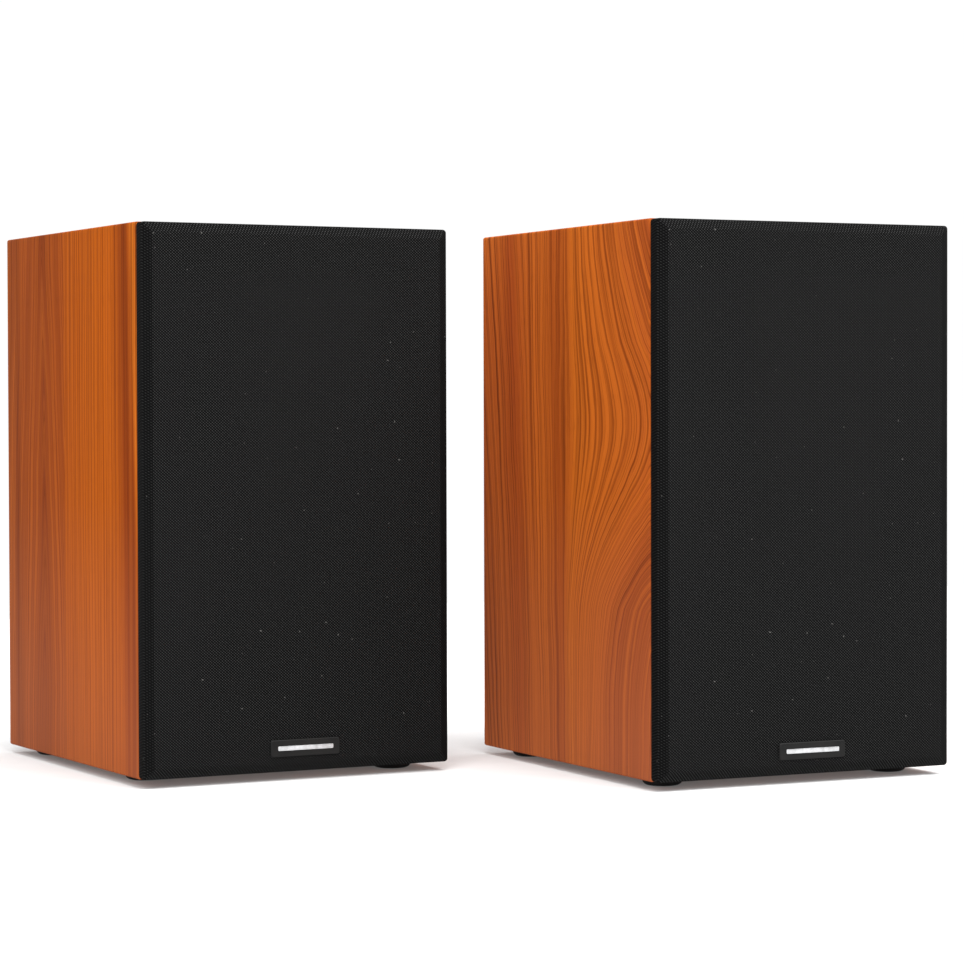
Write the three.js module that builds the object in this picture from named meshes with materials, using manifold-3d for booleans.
// A pair of two-way bookshelf loudspeakers that stand on a desk, each with a pull-off cloth grille.
// Millimetres. +Z is up, -Y is the listening side and +X is the listener's right.
// The origin is on the desk, at the middle of the rectangle that the pair takes up.

import * as THREE from 'three';
import { ConvexGeometry } from 'three/addons/geometries/ConvexGeometry.js';
import { mergeVertices } from 'three/addons/utils/BufferGeometryUtils.js';
import Module from 'manifold-3d';

const wasm = await Module();
wasm.setup();

// ---- Driving dimensions ----

const fitGap = 0.3; // left between two pieces that touch
const overshoot = 1; // a cutter reaches this far past what it cuts

const pair = {
  centreSpacing: 231.43, // between the two cabinets' middles, across the desk
  stagger: 138.43, // the left speaker stands this much further back
  toeIn: THREE.MathUtils.degToRad(1.253), // each speaker turns this far towards the listener
};

const cabinet = {
  width: 177,
  height: 288,
  depth: 194.5,
  board: 12, // thickness of the walls and the back
  backInset: 2, // the back panel sits this far inside the rear edges
};

const baffle = {
  thickness: 15,
  rebate: 4, // depth of the rebates that the drivers' flanges sit in
};

const foot = {
  height: 4.6,
  radius: 10.5,
  soleRadius: 7,
  sideInset: 19.5,
  frontInset: 32, // from the grille's face
  rearInset: 21,
  strayInset: 48, // the left speaker's front left foot was stuck on further back
};

const grille = {
  depth: 9.5,
  airGap: 0.5, // between the grille's back and the cabinet
  sideInset: 0.3, // the grille is this much narrower than the cabinet on each side
  cloth: 0.7,
  chamferWidth: 5,
  chamferDepth: 2.2,
  windowHalfWidth: 70,
  windowHalfHeight: 122,
  gusset: 24, // the window's corners are cut off by this much for the pegs
  pegInset: 7, // from the window's corner, along both sides
  pegRadius: 4,
  pegLength: 8.5,
  pegClearance: 0.6,
  pegEndGap: 1,
};

const badge = {
  width: 40,
  height: 9,
  thickness: 1,
  sideShift: 2, // right of the middle
  riseAboveCabinet: 13,
};

const flange = {
  thickness: 4,
  proud: 0.3, // a driver's flange stands this far out of the baffle
};

const woofer = {
  height: 100, // centre above the desk
  flangeRadius: 66,
  cutoutRadius: 57,
  wall: 1.6,
  seatRadius: 61.5,
  seatDepth: 1.5,
  neckRadius: 56,
  shelfRadius: 43, // the spider's shelf
  shelfDepth: 25.5,
  canRadius: 37,
  backDepth: 37.5,
  mouthRadius: 17, // hole in the basket's back
  windowCount: 4,
  windowAngle: THREE.MathUtils.degToRad(60),
  windowMargin: 2, // left uncut in front of and behind each window
  rollRadius: 50.8, // middle of the surround's half roll
  rollHalfWidth: 4.5,
  rollHeight: 3.6,
  surroundSkin: 0.8,
  surroundLand: 3, // flat strip inside the roll, glued to the cone
  coneRadius: 45.9,
  coneDepth: 19.5,
  coneSkin: 1.1,
  capRadius: 17,
  capHeight: 5.5,
  capSkin: 0.8,
  spiderSkin: 0.6,
  spiderWave: 1, // height of each corrugation
  spiderWaveCount: 4,
  spiderWaveInner: 17.4, // the corrugations start at this radius
  spiderWaveOuter: 36, // and end at this one
  plateRadius: 35,
  plateThickness: 5,
  gapRadius: 14.6,
  magnetRadius: 40,
  magnetHoleRadius: 19,
  magnetThickness: 14.4,
  yokeRadius: 37,
  yokeThickness: 5,
  poleRadius: 12,
  ventRadius: 4,
};

const voiceCoil = {
  innerRadius: 12.5,
  former: 0.6,
  winding: 0.8,
  windingLength: 12,
  frontDepth: 20,
};

const tweeter = {
  height: 222,
  flangeRadius: 45,
  cutoutRadius: 36,
  hornRadius: 28,
  throatRadius: 14.2,
  throatDepth: 2.2,
  domeRadius: 12.6,
  domeHeight: 4.3,
  domeSkin: 0.6,
  domeEdgeDepth: 2.6,
  coilDepth: 8.5,
  poleRadius: 11.3,
  coilGapRadius: 13.4,
  coilGapDepth: 10.5,
  motorRadius: 32,
  motorDepth: 25.5,
};

const port = {
  height: 226,
  flangeRadius: 31,
  mouthRadius: 24,
  boreRadius: 17,
  wall: 2,
  flareDepth: 11,
  shoulderDepth: 4, // where the flare has closed to the tube's outer radius
  length: 84,
};

const terminal = {
  height: 75,
  flangeHalfWidth: 36,
  flangeHalfHeight: 26,
  pocketHalfWidth: 30,
  pocketHalfHeight: 20,
  pocketDepth: 11.5,
  wall: 2,
  blockHalfWidth: 26,
  blockLow: -15,
  blockHigh: -2,
  blockDepth: 5.5, // from the back panel's face to the block's face
  wireHoleRadius: 2.2,
  wireHoleDepth: 5,
  wireHoleRise: -8.5,
  leverSpacing: 13, // of each lever's middle from the cup's middle
  leverHalfWidth: 7,
  pivotDepth: 8,
  pivotRise: 7,
  axleRadius: 1.2,
  axleReach: 2,
  axleClearance: 0.4,
  cheek: 4,
  cheekLow: 3.5,
  cheekHigh: 10.5,
  cheekFace: 4.5, // from the back panel's face to the cheeks' edges
  leverSide: [ // outline of a lever from its axle, as [out of the cup, up]
    [-2, -2.2],
    [2.5, -2.4],
    [9.5, 0.6],
    [9.5, 3.4],
    [2, 2.6],
    [-2, 2.2],
  ],
};

const crossover = {
  halfWidth: 50,
  front: 12,
  back: 68,
  standoff: 3,
  standoffRadius: 3,
  standoffInset: 5, // from the board's edges
  board: 1.6,
  solderSink: 0.3, // each part's underside is let into the board by this much
  coilRadius: 16,
  coilHoleRadius: 7,
  coilHeight: 14,
  coilInset: 12, // from the board's left end
  partsLeft: 5, // left ends of the capacitors and the resistor
  largeCapacitor: { radius: 7, length: 30, behindMiddle: 12 },
  smallCapacitor: { radius: 5, length: 24, behindMiddle: -4 },
  resistor: { width: 26, depth: 10, height: 9, inset: 5 },
};

const wadding = {
  thickness: 14,
  front: -60,
  back: 75,
  low: 24,
  high: 270,
};

// ---- Places worked out from them ----

const overallDepth = cabinet.depth + grille.airGap + grille.depth;
const grilleFront = -overallDepth / 2;
const grilleBack = grilleFront + grille.depth;
const cabinetFront = grilleBack + grille.airGap;
const cabinetBack = overallDepth / 2;
const backFace = cabinetBack - cabinet.backInset;
const halfWidth = cabinet.width / 2;
const innerHalfWidth = halfWidth - cabinet.board;
const cabinetBottom = foot.height;
const cabinetTop = cabinetBottom + cabinet.height;
const cabinetMiddle = (cabinetBottom + cabinetTop) / 2;
const floorOfCabinet = cabinetBottom + cabinet.board;
const flangeBack = flange.thickness - flange.proud;

const roundSides = 20; // facets round the drivers, the port and their cut-outs
const middlingSides = 12; // facets round the feet, the domes and the crossover's coil
const smallSides = 8; // facets round the pegs, axles and capacitors
const rollSteps = 4; // straight steps across the surround's half roll
const domeSteps = 3; // straight steps from a dome's edge to its crown

const pegPlaces = [-1, 1].flatMap((side) =>
  [-1, 1].map((end) => ({
    x: side * (grille.windowHalfWidth - grille.pegInset),
    z: cabinetMiddle + end * (grille.windowHalfHeight - grille.pegInset),
  })),
);

// ---- Solids ----

/** Signed volume of a triangle mesh, which is negative when its faces point in. */
function signedVolume(corners, triangles) {
  const [a, b, c] = [new THREE.Vector3(), new THREE.Vector3(), new THREE.Vector3()];
  let volume = 0;
  for (let i = 0; i < triangles.length; i += 3) {
    a.fromArray(corners, 3 * triangles[i]);
    b.fromArray(corners, 3 * triangles[i + 1]);
    c.fromArray(corners, 3 * triangles[i + 2]);
    volume += a.dot(b.cross(c)) / 6;
  }
  return volume;
}

/** Turns a closed three.js geometry into a solid that can be joined and cut. */
function solidOf(geometry) {
  const bare = new THREE.BufferGeometry();
  bare.setAttribute('position', geometry.getAttribute('position'));
  bare.setIndex(geometry.getIndex());
  const welded = mergeVertices(bare);
  const corners = welded.getAttribute('position').array;
  const index = welded.getIndex().array;
  const triangles = [];
  for (let i = 0; i < index.length; i += 3) {
    const [a, b, c] = index.slice(i, i + 3);
    if (a !== b && b !== c && c !== a) triangles.push(a, b, c);
  }
  if (signedVolume(corners, triangles) < 0) triangles.reverse();
  const mesh = new wasm.Mesh({
    numProp: 3,
    vertProperties: new Float32Array(corners),
    triVerts: new Uint32Array(triangles),
  });
  return new wasm.Manifold(mesh);
}

/** The geometry of a finished solid, with flat faces. */
function geometryOf(solid) {
  const { vertProperties, triVerts } = solid.getMesh();
  const indexed = new THREE.BufferGeometry();
  indexed.setAttribute('position', new THREE.BufferAttribute(vertProperties, 3));
  indexed.setIndex(new THREE.BufferAttribute(triVerts, 1));
  const geometry = indexed.toNonIndexed();
  geometry.computeVertexNormals();
  return geometry;
}

/** A block between two limits on each axis. */
function block([left, right], [front, back], [low, high]) {
  const geometry = new THREE.BoxGeometry(right - left, back - front, high - low);
  return solidOf(geometry.translate((left + right) / 2, (front + back) / 2, (low + high) / 2));
}

/** A plate with an outline of [x, z] points, from its front plane to its back plane. */
function plate(outline, front, back) {
  const shape = new THREE.Shape(outline.map(([x, z]) => new THREE.Vector2(x, z)));
  const geometry = new THREE.ExtrudeGeometry(shape, { depth: back - front, bevelEnabled: false });
  return solidOf(geometry.rotateX(Math.PI / 2).translate(0, back, 0));
}

/** A solid turned about a line along Y, from [radius, y] points that close on the axis or on themselves. */
function turned(profile, sides = roundSides, { x = 0, z = 0 } = {}) {
  const points = profile.map(([radius, y]) => new THREE.Vector2(radius, y));
  if (profile[0][0] > 0) points.push(points[0]);
  return solidOf(new THREE.LatheGeometry(points, sides).translate(x, 0, z));
}

/** A round bar along Y. */
function bar(radius, front, back, sides = roundSides, place = {}) {
  return turned([[0, front], [radius, front], [radius, back], [0, back]], sides, place);
}

/** A round bar along X. */
function crossBar(radius, [left, right], y, z, sides = smallSides) {
  const geometry = new THREE.CylinderGeometry(radius, radius, right - left, sides);
  return solidOf(geometry.rotateZ(Math.PI / 2).translate((left + right) / 2, y, z));
}

/** A round post along Z. */
function post(radius, [low, high], x, y, sides = smallSides) {
  const geometry = new THREE.CylinderGeometry(radius, radius, high - low, sides);
  return solidOf(geometry.rotateX(Math.PI / 2).translate(x, y, (low + high) / 2));
}

/** Points of a shallow dome from its edge to its crown on the axis, bulging to -Y. */
function domeProfile(radius, height, edge) {
  const sphere = (radius * radius + height * height) / (2 * height);
  const spread = Math.asin(radius / sphere);
  const points = [];
  for (let i = 0; i <= domeSteps; i += 1) {
    const angle = spread * (1 - i / domeSteps);
    points.push([sphere * Math.sin(angle), edge - height + sphere * (1 - Math.cos(angle))]);
  }
  points[domeSteps][0] = 0;
  return points;
}

/** The grille's form, set in by a margin all round: a slab whose front edges are chamfered. */
function grilleForm(margin, back) {
  const halfX = halfWidth - grille.sideInset - margin;
  const halfZ = cabinet.height / 2 - grille.sideInset - margin;
  const rings = [
    [0, back],
    [0, grilleFront + margin + grille.chamferDepth],
    [grille.chamferWidth, grilleFront + margin],
  ];
  const corners = rings.flatMap(([inset, y]) =>
    [-1, 1].flatMap((side) =>
      [-1, 1].map(
        (end) => new THREE.Vector3(side * (halfX - inset), y, cabinetMiddle + end * (halfZ - inset)),
      ),
    ),
  );
  return solidOf(new ConvexGeometry(corners));
}

// ---- Cabinet ----

/** A mitred side wall: the left one when side is -1, the right one when it is 1. */
function sidePanel(side) {
  const mitreGap = fitGap * Math.SQRT2;
  const outer = side * halfWidth;
  const inner = side * innerHalfWidth;
  const outline = [
    [outer, cabinetBottom + mitreGap],
    [outer, cabinetTop - mitreGap],
    [inner, cabinetTop - cabinet.board - mitreGap],
    [inner, cabinetBottom + cabinet.board + mitreGap],
  ];
  return plate(outline, cabinetFront, cabinetBack);
}

/** The top or the bottom wall, whose ends are mitred to meet the sides. */
function levelPanel(outerRise, innerRise) {
  const outline = [
    [-halfWidth, outerRise],
    [halfWidth, outerRise],
    [innerHalfWidth, innerRise],
    [-innerHalfWidth, innerRise],
  ];
  return plate(outline, cabinetFront, cabinetBack);
}

/** A plain board that fits inside the four walls. */
function insetBoard(front, back) {
  const x = innerHalfWidth - fitGap;
  const low = floorOfCabinet + fitGap;
  const high = cabinetTop - cabinet.board - fitGap;
  return block([-x, x], [front, back], [low, high]);
}

function frontBaffle() {
  const front = cabinetFront;
  const back = cabinetFront + baffle.thickness;
  const rebateBack = front + baffle.rebate;
  let solid = insetBoard(front, back);
  for (const driver of [woofer, tweeter]) {
    const place = { z: driver.height };
    const rebateRadius = driver.flangeRadius + fitGap;
    solid = solid.subtract(bar(rebateRadius, front - overshoot, rebateBack, roundSides, place));
    solid = solid.subtract(bar(driver.cutoutRadius, front, back + overshoot, roundSides, place));
  }
  const socketBack = grilleBack + grille.pegLength + grille.pegEndGap;
  for (const place of pegPlaces) {
    const radius = grille.pegRadius + grille.pegClearance;
    solid = solid.subtract(bar(radius, front - overshoot, socketBack, smallSides, place));
  }
  return solid;
}

function backPanel() {
  const front = backFace - cabinet.board;
  const tubeRadius = port.boreRadius + port.wall + fitGap;
  const cupX = terminal.pocketHalfWidth + terminal.wall + fitGap;
  const cupZ = terminal.pocketHalfHeight + terminal.wall + fitGap;
  const cutLimits = [front - overshoot, backFace + overshoot];
  const cupHole = block([-cupX, cupX], cutLimits, [terminal.height - cupZ, terminal.height + cupZ]);
  return insetBoard(front, backFace)
    .subtract(bar(tubeRadius, ...cutLimits, roundSides, { z: port.height }))
    .subtract(cupHole);
}

/** A soft domed foot, flat where it meets the desk. */
function rubberFoot() {
  const top = foot.height - fitGap;
  const shoulder = foot.height / 2;
  const profile = [[0, 0], [foot.soleRadius, 0], [foot.radius, shoulder], [foot.radius, top], [0, top]];
  const points = profile.map(([radius, rise]) => new THREE.Vector2(radius, rise));
  return solidOf(new THREE.LatheGeometry(points, middlingSides).rotateX(Math.PI / 2));
}

function damping() {
  const left = -innerHalfWidth + fitGap;
  return block([left, left + wadding.thickness], [wadding.front, wadding.back], [wadding.low, wadding.high]);
}

// ---- Grille ----

/** A cloth skin over the frame's face, chamfer and sides, open at the back. */
function grilleCloth() {
  return grilleForm(0, grilleBack).subtract(grilleForm(grille.cloth, grilleBack + overshoot));
}

/** The frame under the cloth, with gusseted corners that carry the four pegs. */
function grilleFrame() {
  const { windowHalfWidth: w, windowHalfHeight: h, gusset } = grille;
  const window = [
    [w, h - gusset], [w - gusset, h], [gusset - w, h], [-w, h - gusset],
    [-w, gusset - h], [gusset - w, -h], [w - gusset, -h], [w, gusset - h],
  ].map(([x, z]) => [x, cabinetMiddle + z]);
  let solid = grilleForm(grille.cloth + fitGap, grilleBack);
  solid = solid.subtract(plate(window, grilleFront - overshoot, grilleBack + overshoot));
  for (const place of pegPlaces) {
    const pegLimits = [grilleBack - overshoot, grilleBack + grille.pegLength];
    solid = solid.add(bar(grille.pegRadius, ...pegLimits, smallSides, place));
  }
  return solid;
}

/** A blank name plate with bevelled edges. */
function namePlate() {
  const back = grilleFront - fitGap;
  const middle = cabinetBottom + badge.riseAboveCabinet;
  const bevel = badge.thickness / 2;
  const corners = [];
  for (const side of [-1, 1]) {
    for (const end of [-1, 1]) {
      const x = badge.sideShift + (side * badge.width) / 2;
      const z = middle + (end * badge.height) / 2;
      corners.push(new THREE.Vector3(x, back, z));
      corners.push(new THREE.Vector3(x, back - bevel, z));
      corners.push(new THREE.Vector3(x - side * bevel, back - badge.thickness, z - end * bevel));
    }
  }
  return solidOf(new ConvexGeometry(corners));
}

// ---- Woofer: y is 0 at the baffle's face and grows towards the back of the cabinet ----

/** The pressed basket with its windows, and the steel top plate riveted to its back. */
function wooferBasket() {
  const w = woofer;
  const plateBack = w.backDepth + w.plateThickness;
  const profile = [
    [w.flangeRadius, -flange.proud],
    [w.flangeRadius, flangeBack],
    [w.neckRadius, flangeBack],
    [w.shelfRadius + w.wall, w.shelfDepth + w.wall],
    [w.canRadius + w.wall, w.shelfDepth + w.wall],
    [w.canRadius + w.wall, w.backDepth],
    [w.plateRadius, w.backDepth],
    [w.plateRadius, plateBack],
    [w.gapRadius, plateBack],
    [w.gapRadius, w.backDepth],
    [w.mouthRadius, w.backDepth],
    [w.mouthRadius, w.backDepth - w.wall],
    [w.canRadius, w.backDepth - w.wall],
    [w.canRadius, w.shelfDepth],
    [w.shelfRadius, w.shelfDepth],
    [w.neckRadius - w.wall, flangeBack],
    [w.neckRadius - w.wall, w.seatDepth],
    [w.seatRadius, w.seatDepth],
    [w.seatRadius, -flange.proud],
  ];
  let solid = turned(profile);
  const windowFront = flangeBack + w.windowMargin;
  const windowBack = w.shelfDepth - w.windowMargin;
  const reach = 1.5 * w.flangeRadius; // well outside the flange
  for (let i = 0; i < w.windowCount; i += 1) {
    const middle = (2 * Math.PI * (i + 0.5)) / w.windowCount;
    const edges = [middle - w.windowAngle / 2, middle + w.windowAngle / 2];
    const rim = edges.map((angle) => [reach * Math.cos(angle), reach * Math.sin(angle)]);
    solid = solid.subtract(plate([[0, 0], ...rim], windowFront, windowBack));
  }
  return solid;
}

/** The rubber half roll between the basket's seat and the cone's edge. */
function wooferSurround() {
  const w = woofer;
  const back = w.seatDepth - fitGap;
  const front = back - w.surroundSkin;
  const arc = (halfSpan, rise, base) => {
    const points = [];
    for (let i = 0; i <= rollSteps; i += 1) {
      const angle = (Math.PI * i) / rollSteps;
      points.push([w.rollRadius + halfSpan * Math.cos(angle), base - rise * Math.sin(angle)]);
    }
    return points;
  };
  const outerFace = arc(w.rollHalfWidth, w.rollHeight + w.surroundSkin, front);
  const innerFace = arc(w.rollHalfWidth - w.surroundSkin, w.rollHeight, back);
  const outerRadius = w.seatRadius - 2 * fitGap;
  const innerRadius = w.rollRadius - w.rollHalfWidth - w.surroundLand;
  return turned([
    [outerRadius, front],
    ...outerFace,
    [innerRadius, front],
    [innerRadius, back],
    ...innerFace.reverse(),
    [outerRadius, back],
  ]);
}

function wooferCone() {
  const w = woofer;
  const neck = voiceCoil.innerRadius + voiceCoil.former + fitGap;
  const backOfNeck = w.seatDepth + w.coneDepth;
  return turned([
    [w.coneRadius, w.seatDepth],
    [w.coneRadius, w.seatDepth + w.coneSkin],
    [neck, backOfNeck + w.coneSkin],
    [neck, backOfNeck],
  ]);
}

function dustCap() {
  const w = woofer;
  const neck = voiceCoil.innerRadius + voiceCoil.former + fitGap;
  const slope = w.coneDepth / (w.coneRadius - neck);
  const edge = w.seatDepth + (w.coneRadius - w.capRadius) * slope - fitGap - w.capSkin;
  const face = domeProfile(w.capRadius, w.capHeight, edge);
  const inside = face.map(([radius, y]) => [radius, y + w.capSkin]);
  return turned([...face.reverse(), ...inside], middlingSides);
}

/** The voice coil's former, with the winding round its back end. */
function wooferVoiceCoil() {
  const v = voiceCoil;
  const formerRadius = v.innerRadius + v.former;
  const plateMiddle = woofer.backDepth + woofer.plateThickness / 2;
  const windingFront = plateMiddle - v.windingLength / 2;
  const windingBack = plateMiddle + v.windingLength / 2;
  return turned([
    [v.innerRadius, v.frontDepth],
    [formerRadius, v.frontDepth],
    [formerRadius, windingFront],
    [formerRadius + v.winding, windingFront],
    [formerRadius + v.winding, windingBack],
    [v.innerRadius, windingBack],
  ]);
}

/** The corrugated cloth disc that centres the voice coil. */
function wooferSpider() {
  const w = woofer;
  const middle = w.shelfDepth - 2 * fitGap;
  const inner = voiceCoil.innerRadius + voiceCoil.former + fitGap;
  const outer = w.shelfRadius - fitGap;
  const waveStep = (w.spiderWaveOuter - w.spiderWaveInner) / w.spiderWaveCount;
  const line = [[inner, middle]];
  for (let i = 0; i <= w.spiderWaveCount; i += 1) {
    const radius = w.spiderWaveInner + waveStep * i;
    line.push([radius, middle + (i % 2 ? -w.spiderWave : 0)]);
  }
  line.push([outer, middle]);
  const back = line.map(([radius, y]) => [radius, y + w.spiderSkin / 2]);
  const front = line.map(([radius, y]) => [radius, y - w.spiderSkin / 2]);
  return turned([...back, ...front.reverse()]);
}

function wooferMagnet() {
  const front = woofer.backDepth + woofer.plateThickness + fitGap;
  const back = front + woofer.magnetThickness;
  const { magnetRadius: outer, magnetHoleRadius: inner } = woofer;
  return turned([[inner, front], [outer, front], [outer, back], [inner, back]]);
}

/** The back plate and its vented pole, which reaches forward inside the voice coil. */
function wooferYoke() {
  const w = woofer;
  const plateFront = w.backDepth + w.plateThickness + w.magnetThickness + 2 * fitGap;
  const plateBack = plateFront + w.yokeThickness;
  return turned([
    [w.ventRadius, w.backDepth],
    [w.poleRadius, w.backDepth],
    [w.poleRadius, plateFront],
    [w.yokeRadius, plateFront],
    [w.yokeRadius, plateBack],
    [w.ventRadius, plateBack],
  ]);
}

// ---- Tweeter: y is 0 at the baffle's face and grows towards the back of the cabinet ----

function tweeterFaceplate() {
  const t = tweeter;
  return turned([
    [t.throatRadius, t.throatDepth],
    [t.hornRadius, -flange.proud],
    [t.flangeRadius, -flange.proud],
    [t.flangeRadius, flangeBack],
    [t.throatRadius, flangeBack],
  ]);
}

/** The soft dome with its voice coil. */
function tweeterDome() {
  const t = tweeter;
  const face = domeProfile(t.domeRadius, t.domeHeight, t.domeEdgeDepth);
  const insideEdge = t.domeEdgeDepth + t.domeSkin;
  const inside = domeProfile(t.domeRadius - t.domeSkin, t.domeHeight, insideEdge);
  const profile = [
    ...face.reverse(),
    [t.domeRadius, t.coilDepth],
    [t.domeRadius - t.domeSkin, t.coilDepth],
    ...inside,
  ];
  return turned(profile, middlingSides);
}

/** The tweeter's magnet system, grooved for the voice coil. */
function tweeterMotor() {
  const t = tweeter;
  const front = flangeBack + fitGap;
  return turned([
    [0, front],
    [t.poleRadius, front],
    [t.poleRadius, t.coilGapDepth],
    [t.coilGapRadius, t.coilGapDepth],
    [t.coilGapRadius, front],
    [t.motorRadius, front],
    [t.motorRadius, t.motorDepth],
    [0, t.motorDepth],
  ]);
}

// ---- Rear fittings: y is 0 at the back panel's face and grows away from the cabinet ----

function portTube() {
  const outer = port.boreRadius + port.wall;
  const rim = cabinet.backInset;
  return turned([
    [port.boreRadius, -port.length],
    [outer, -port.length],
    [outer, fitGap],
    [port.flangeRadius, fitGap],
    [port.flangeRadius, rim],
    [port.mouthRadius, rim],
    [outer, rim - port.shoulderDepth],
    [port.boreRadius, rim - port.flareDepth],
  ]);
}

/** Limits on X of the three cheeks that hold the levers' axles. */
function cheekLimits() {
  const leverInner = terminal.leverSpacing - terminal.leverHalfWidth;
  const leverOuter = terminal.leverSpacing + terminal.leverHalfWidth;
  const side = leverOuter + 2 * fitGap;
  const middle = leverInner - 2 * fitGap;
  return [
    [-side - terminal.cheek, -side],
    [-middle, middle],
    [side, side + terminal.cheek],
  ];
}

/** The moulded cup that is let into the back panel, with a wire block and cheeks for the levers. */
function terminalCup() {
  const t = terminal;
  const across = (half) => [-half, half];
  const rim = cabinet.backInset;
  const floor = -t.pocketDepth;
  const bodyX = across(t.pocketHalfWidth + t.wall);
  const bodyZ = across(t.pocketHalfHeight + t.wall);
  let solid = block(across(t.flangeHalfWidth), [fitGap, rim], across(t.flangeHalfHeight))
    .add(block(bodyX, [floor - t.wall, fitGap], bodyZ))
    .subtract(block(across(t.pocketHalfWidth), [floor, rim + overshoot], across(t.pocketHalfHeight)))
    .add(block(across(t.blockHalfWidth), [floor, -t.blockDepth], [t.blockLow, t.blockHigh]));
  for (const limits of cheekLimits()) {
    solid = solid.add(block(limits, [floor, -t.cheekFace], [t.cheekLow, t.cheekHigh]));
  }
  const axleReach = across(t.leverSpacing + t.leverHalfWidth + t.axleReach + fitGap);
  solid = solid.subtract(
    crossBar(t.axleRadius + t.axleClearance, axleReach, -t.pivotDepth, t.pivotRise),
  );
  for (const side of [-1, 1]) {
    const place = { x: side * t.leverSpacing, z: t.wireHoleRise };
    const holeFloor = -t.blockDepth - t.wireHoleDepth;
    solid = solid.subtract(bar(t.wireHoleRadius, holeFloor, 0, smallSides, place));
  }
  return solid;
}

/** A sprung lever, drawn about its own axle, with its thumb tab pointing out of the cup. */
function terminalLever() {
  const t = terminal;
  const shape = new THREE.Shape(t.leverSide.map(([y, z]) => new THREE.Vector2(y, z)));
  const width = 2 * t.leverHalfWidth;
  const geometry = new THREE.ExtrudeGeometry(shape, { depth: width, bevelEnabled: false });
  geometry.applyMatrix4(new THREE.Matrix4().makeBasis(
    new THREE.Vector3(0, 1, 0),
    new THREE.Vector3(0, 0, 1),
    new THREE.Vector3(1, 0, 0),
  ));
  const body = solidOf(geometry.translate(-t.leverHalfWidth, 0, 0));
  const reach = t.leverHalfWidth + t.axleReach;
  return body.add(crossBar(t.axleRadius, [-reach, reach], 0, 0));
}

/** The crossover: a board on standoffs with an air-core coil, two capacitors and a resistor. */
function crossoverBoard() {
  const c = crossover;
  const boardLow = floorOfCabinet + fitGap + c.standoff;
  const boardHigh = boardLow + c.board;
  const middle = (c.front + c.back) / 2;
  const sunk = boardHigh - c.solderSink;
  let solid = block([-c.halfWidth, c.halfWidth], [c.front, c.back], [boardLow, boardHigh]);
  const standoffLimits = [boardLow - c.standoff, boardLow + c.solderSink];
  for (const x of [-c.halfWidth + c.standoffInset, c.halfWidth - c.standoffInset]) {
    for (const y of [c.front + c.standoffInset, c.back - c.standoffInset]) {
      solid = solid.add(post(c.standoffRadius, standoffLimits, x, y));
    }
  }
  const coilX = -c.halfWidth + c.coilInset + c.coilRadius;
  const coilTop = boardHigh + c.coilHeight;
  solid = solid.add(
    post(c.coilRadius, [sunk, coilTop], coilX, middle, middlingSides)
      .subtract(post(c.coilHoleRadius, [boardHigh, coilTop + overshoot], coilX, middle)),
  );
  for (const { radius, length, behindMiddle } of [c.largeCapacitor, c.smallCapacitor]) {
    const limits = [c.partsLeft, c.partsLeft + length];
    solid = solid.add(crossBar(radius, limits, middle + behindMiddle, boardHigh + radius - 2 * c.solderSink));
  }
  const { width, depth, height, inset } = c.resistor;
  const resistorFront = c.front + inset;
  const resistorX = [c.partsLeft, c.partsLeft + width];
  const resistorY = [resistorFront, resistorFront + depth];
  return solid.add(block(resistorX, resistorY, [sunk, boardHigh + height]));
}

// ---- Finishes ----

const finishes = {
  cherryVinyl: { color: 0xb0582a, roughness: 0.42, metalness: 0 },
  blackVinyl: { color: 0x1b1a1a, roughness: 0.6, metalness: 0 },
  rubber: { color: 0x121212, roughness: 0.85, metalness: 0 },
  grilleBoard: { color: 0x161616, roughness: 0.8, metalness: 0 },
  grilleCloth: { color: 0x262626, roughness: 0.95, metalness: 0 },
  satinMetal: { color: 0xd4d5d6, roughness: 0.35, metalness: 0.9 },
  blackSteel: { color: 0x1a1b1c, roughness: 0.5, metalness: 0.6 },
  conePaper: { color: 0x1e1e20, roughness: 0.7, metalness: 0 },
  copper: { color: 0xb4703c, roughness: 0.4, metalness: 0.9 },
  spiderCloth: { color: 0xc59a4e, roughness: 0.95, metalness: 0 },
  ferrite: { color: 0x2f3032, roughness: 0.7, metalness: 0.1 },
  zincSteel: { color: 0xa9abad, roughness: 0.4, metalness: 0.9 },
  blackPlastic: { color: 0x151515, roughness: 0.45, metalness: 0 },
  silkDome: { color: 0x202226, roughness: 0.55, metalness: 0 },
  greenBoard: { color: 0x2f6b3c, roughness: 0.5, metalness: 0 },
  wadding: { color: 0xd9d7d0, roughness: 1, metalness: 0 },
  redPlastic: { color: 0xa81c1c, roughness: 0.4, metalness: 0 },
};

// ---- Assembly ----

/** Hangs a named mesh in a group, so that it stands at the group's own place. */
function addPiece(group, name, solid, finish, position = [0, 0, 0]) {
  const mesh = new THREE.Mesh(geometryOf(solid), new THREE.MeshStandardMaterial(finish));
  mesh.name = name;
  mesh.position.set(...position);
  group.add(mesh);
}

function addCabinet(speaker, prefix) {
  const f = finishes;
  addPiece(speaker, `${prefix}_left_side_panel`, sidePanel(-1), f.cherryVinyl);
  addPiece(speaker, `${prefix}_right_side_panel`, sidePanel(1), f.cherryVinyl);
  addPiece(speaker, `${prefix}_top_panel`, levelPanel(cabinetTop, cabinetTop - cabinet.board), f.cherryVinyl);
  addPiece(speaker, `${prefix}_bottom_panel`, levelPanel(cabinetBottom, floorOfCabinet), f.cherryVinyl);
  addPiece(speaker, `${prefix}_front_baffle`, frontBaffle(), f.blackVinyl);
  addPiece(speaker, `${prefix}_back_panel`, backPanel(), f.blackVinyl);
  addPiece(speaker, `${prefix}_wadding`, damping(), f.wadding);
  addPiece(speaker, `${prefix}_crossover`, crossoverBoard(), f.greenBoard);
}

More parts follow.
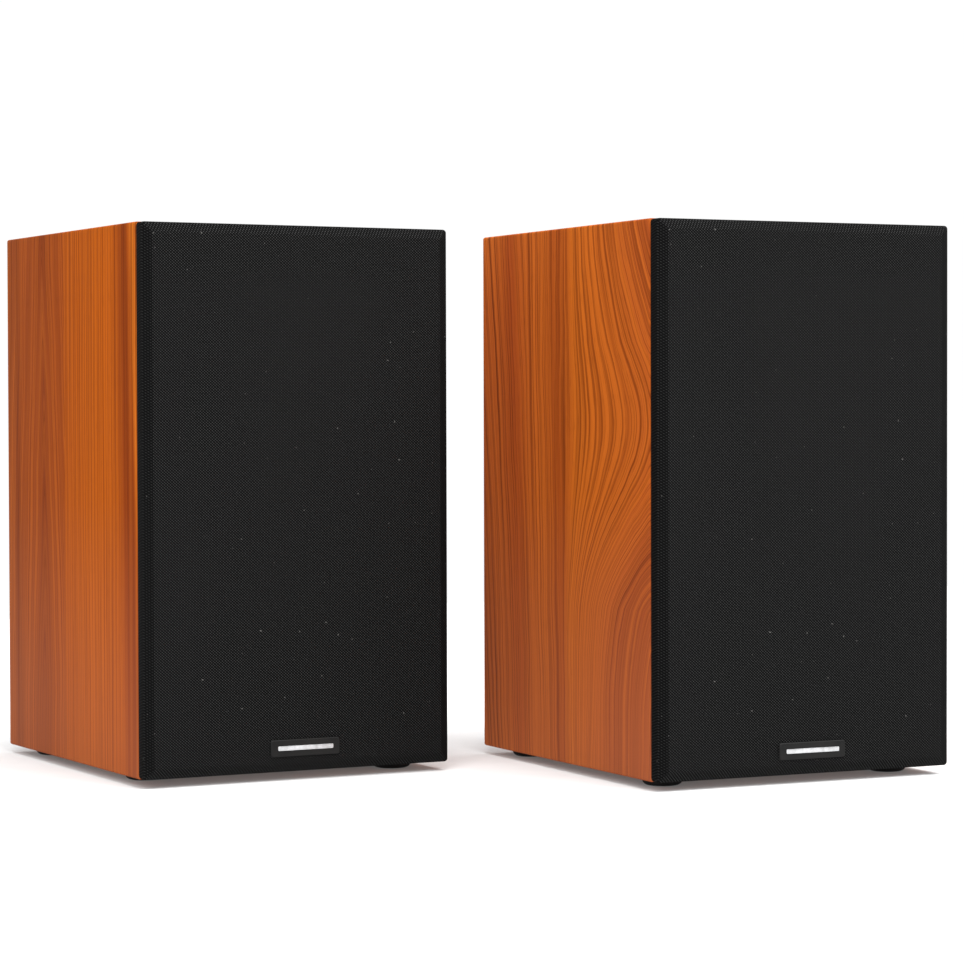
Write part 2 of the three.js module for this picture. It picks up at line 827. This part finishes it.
function addFeet(speaker, prefix, frontLeftInset) {
  const footX = halfWidth - foot.sideInset;
  const rear = cabinetBack - foot.rearInset;
  const places = {
    front_left_foot: [-footX, grilleFront + frontLeftInset],
    front_right_foot: [footX, grilleFront + foot.frontInset],
    rear_left_foot: [-footX, rear],
    rear_right_foot: [footX, rear],
  };
  for (const [name, [x, y]] of Object.entries(places)) {
    addPiece(speaker, `${prefix}_${name}`, rubberFoot(), finishes.rubber, [x, y, 0]);
  }
}

function addGrille(speaker, prefix) {
  addPiece(speaker, `${prefix}_grille_frame`, grilleFrame(), finishes.grilleBoard);
  addPiece(speaker, `${prefix}_grille_cloth`, grilleCloth(), finishes.grilleCloth);
  addPiece(speaker, `${prefix}_badge`, namePlate(), finishes.satinMetal);
}

function addWoofer(speaker, prefix) {
  const f = finishes;
  const driver = new THREE.Group();
  driver.position.set(0, cabinetFront, woofer.height);
  addPiece(driver, `${prefix}_woofer_basket`, wooferBasket(), f.blackSteel);
  addPiece(driver, `${prefix}_woofer_surround`, wooferSurround(), f.rubber);
  addPiece(driver, `${prefix}_woofer_cone`, wooferCone(), f.conePaper);
  addPiece(driver, `${prefix}_dust_cap`, dustCap(), f.conePaper);
  addPiece(driver, `${prefix}_voice_coil`, wooferVoiceCoil(), f.copper);
  addPiece(driver, `${prefix}_spider`, wooferSpider(), f.spiderCloth);
  addPiece(driver, `${prefix}_magnet`, wooferMagnet(), f.ferrite);
  addPiece(driver, `${prefix}_yoke`, wooferYoke(), f.zincSteel);
  speaker.add(driver);
}

function addTweeter(speaker, prefix) {
  const driver = new THREE.Group();
  driver.position.set(0, cabinetFront, tweeter.height);
  addPiece(driver, `${prefix}_tweeter_faceplate`, tweeterFaceplate(), finishes.blackPlastic);
  addPiece(driver, `${prefix}_tweeter_dome`, tweeterDome(), finishes.silkDome);
  addPiece(driver, `${prefix}_tweeter_motor`, tweeterMotor(), finishes.ferrite);
  speaker.add(driver);
}

function addRearFittings(speaker, prefix) {
  const { leverSpacing, pivotDepth, pivotRise } = terminal;
  addPiece(speaker, `${prefix}_port_tube`, portTube(), finishes.blackPlastic, [0, backFace, port.height]);
  const fitting = new THREE.Group();
  fitting.position.set(0, backFace, terminal.height);
  addPiece(fitting, `${prefix}_terminal_cup`, terminalCup(), finishes.blackPlastic);
  const leverPlace = (side) => [side * leverSpacing, -pivotDepth, pivotRise];
  addPiece(fitting, `${prefix}_red_lever`, terminalLever(), finishes.redPlastic, leverPlace(-1));
  addPiece(fitting, `${prefix}_black_lever`, terminalLever(), finishes.blackPlastic, leverPlace(1));
  speaker.add(fitting);
}

/** One complete speaker, about the middle of its own footprint. */
function loudspeaker(prefix, frontLeftFootInset) {
  const speaker = new THREE.Group();
  addCabinet(speaker, prefix);
  addFeet(speaker, prefix, frontLeftFootInset);
  addGrille(speaker, prefix);
  addWoofer(speaker, prefix);
  addTweeter(speaker, prefix);
  addRearFittings(speaker, prefix);
  return speaker;
}

const leftSpeaker = loudspeaker('left_speaker', foot.strayInset);
leftSpeaker.position.set(-pair.centreSpacing / 2, pair.stagger / 2, 0);
leftSpeaker.rotation.z = pair.toeIn;

const rightSpeaker = loudspeaker('right_speaker', foot.frontInset);
rightSpeaker.position.set(pair.centreSpacing / 2, -pair.stagger / 2, 0);
rightSpeaker.rotation.z = -pair.toeIn;

const speakers = new THREE.Group();
speakers.add(leftSpeaker, rightSpeaker);

export default speakers;
